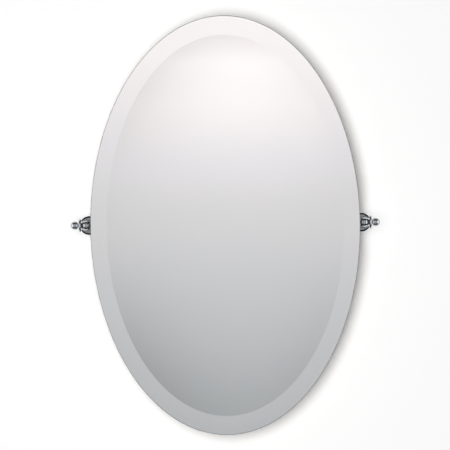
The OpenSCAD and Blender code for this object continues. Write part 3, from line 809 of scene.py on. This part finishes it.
def room_surface(tree, where):
    """The room that polished surfaces mirror, as light that depends on the direction alone.
    Straight ahead it is the falling light; further round it is grey, then dark above and below,
    with a white window of light on either side."""
    aim = add(tree, "VectorMath", {0: where}, operation="NORMALIZE")
    sideways, ahead, up = (add(tree, "SeparateXYZ", {0: aim}, axis) for axis in "XYZ")
    fall = falling_light(tree, sideways, up)

    # a polished ball shows a direction at a spot: across and high, in shares of its radius
    span = add(tree, "Math", {0: ahead, 1: -2.0, 2: 2.0}, operation="MULTIPLY_ADD")
    span = add(tree, "Math", {0: span, 1: 0.5}, operation="POWER")
    across, high = (
        add(tree, "Math", {0: add(tree, "Math", {0: part, 1: span}, operation="DIVIDE")},
            operation="ABSOLUTE") for part in (sideways, up))
    spot = add(tree, "CombineXYZ", {"X": across, "Y": high})
    from_middle = add(tree, "VectorMath", {0: spot}, "Value", operation="LENGTH")
    beyond = add(tree, "MapRange", {0: from_middle, **BEYOND})
    oval = add(tree, "VectorMath", {0: spot, 1: (1 / GREY["wide"], 1 / GREY["tall"], 0)},
               operation="MULTIPLY")
    oval_reach = add(tree, "VectorMath", {0: oval}, "Value", operation="LENGTH")
    gloom = add(tree, "MapRange", {0: oval_reach, **GREY["reach"]})
    window = add(tree, "Math", {
        0: add(tree, "MapRange", {0: across, **WINDOW["across"]}),
        1: add(tree, "MapRange", {0: high, **WINDOW["high"], "To Min": 1, "To Max": 0}),
    }, operation="MULTIPLY")
    on_metal = fall
    for share, colour in ((beyond, GREY["colour"]), (gloom, DARK), (window, WINDOW["colour"])):
        on_metal = add(tree, "Mix", {0: share, 6: on_metal, 7: colour}, 2, data_type="RGBA")

    # seen from the side, the mirror shows a pale room all round, not what the metal shows
    blur = add(tree, "TexNoise", {"Vector": aim, "Scale": 1 / PALE["blur"], "Detail": 1})
    height = add(tree, "Math", {0: up, 1: PALE["rise"], 2: blur}, operation="MULTIPLY_ADD")
    level = add(tree, "MapRange", {0: height, **PALE["over"]})
    pale = add(tree, "Mix", {0: level, 6: PALE["low"], 7: PALE["high"]}, 2, data_type="RGBA")
    in_mirror = add(tree, "Mix", {0: beyond, 6: fall, 7: pale}, 2, data_type="RGBA")
    through_glass = add(tree, "LightPath", out="Is Transmission Ray")
    shown = add(tree, "Mix", {0: through_glass, 6: on_metal, 7: in_mirror}, 2, data_type="RGBA")
    return add(tree, "Emission", {"Color": shown, "Strength": ROOM_STRENGTH})


def room_shell():
    """A far sphere round the set, which only reflections and what shows through glass see."""
    bm = bmesh.new()
    bmesh.ops.create_icosphere(bm, subdivisions=5, radius=ROOM_R)
    made = to_object("studio_room", bm, [material_of("room_seen_in_reflections", room_surface)])
    made.data.shade_smooth()
    made.location = (0, axis_y, 0)
    made.visible_camera = made.visible_diffuse = made.visible_shadow = False


room_shell()


def lamp(name, energy, wide, tall, position, seen_in_gloss=False):
    """An oval soft lamp at a position, turned to the middle of the wall behind the mirror."""
    light = bpy.data.lights.new(name, "AREA")
    light.shape, light.size, light.size_y, light.energy = "ELLIPSE", wide, tall, energy
    made = bpy.data.objects.new(name, light)
    made.location = position
    made.rotation_euler = (-Vector(position)).to_track_quat("-Z", "Y").to_euler()
    bpy.context.scene.collection.objects.link(made)
    made.visible_glossy = made.visible_transmission = seen_in_gloss
    made.visible_camera = False


# The soft key stands a little to the left of the camera, which puts the shadow on the right
KEY = {"watts": 168, "wide": 1.76, "tall": 2.1, "distance": 4.0, "angle": math.radians(5.7)}
key_left, key_front = (KEY["distance"] * f(KEY["angle"]) for f in (math.sin, math.cos))
lamp("key_light", KEY["watts"], KEY["wide"], KEY["tall"], (-key_left, -key_front, 0))
# The lamp behind the wall lights the back of the mirror, for views from behind
REAR = {"watts": 50, "wide": 2.0, "tall": 2.0, "place": (0.6, 3.2, 0.8)}
lamp("rear_light", REAR["watts"], REAR["wide"], REAR["tall"], REAR["place"], seen_in_gloss=True)

# The backdrop beyond the wall and floor is white; the other rays get a plain fill
BACKDROP = {"Color": "#FFFFFF", "Strength": 1.0}
FILL = {"Color": "#FFFFFF", "Strength": 0.02}
world = bpy.data.worlds.new("studio_world")
bpy.context.scene.world = world
world.use_nodes = True
sky = world.node_tree
sky.nodes.clear()
shows = add(sky, "LightPath", out="Is Camera Ray")
for kind in ("Is Glossy Ray", "Is Transmission Ray"):
    shows = add(sky, "Math", {0: shows, 1: add(sky, "LightPath", out=kind)}, operation="MAXIMUM")
fill, backdrop = add(sky, "Background", FILL), add(sky, "Background", BACKDROP)
add(sky, "OutputWorld", {"Surface": add(sky, "MixShader", {0: shows, 1: fill, 2: backdrop})})

# ---------------------------------------------------------------- the camera
IMAGE_PX = 450
MM_PER_PX = 1.7559        # real size of a pixel at the front of the glass
GLASS_CENTRE_PX = (225.3, 225.2)
CAMERA_DISTANCE = 3.1     # from the front of the glass
LEAN = math.radians(0.7)  # how far the object leans to the left in the photograph
SENSOR_MM = 36

view_w = IMAGE_PX * MM_PER_PX * MM
camera_data = bpy.data.cameras.new("camera")
camera_data.sensor_width = SENSOR_MM
camera_data.lens = SENSOR_MM * CAMERA_DISTANCE / view_w
camera = bpy.data.objects.new("camera", camera_data)
bpy.context.scene.collection.objects.link(camera)
off_x, off_z = ((IMAGE_PX / 2 - c) * MM_PER_PX * MM for c in GLASS_CENTRE_PX)
upright = Matrix.Rotation(QUARTER_TURN, 4, "X") @ Matrix.Rotation(-LEAN, 4, "Z")
camera.matrix_world = (
    Matrix.Translation((off_x, glass_front - CAMERA_DISTANCE, glass_mid_z - off_z)) @ upright)
bpy.context.scene.camera = camera
bpy.context.scene.view_settings.view_transform = "Standard"
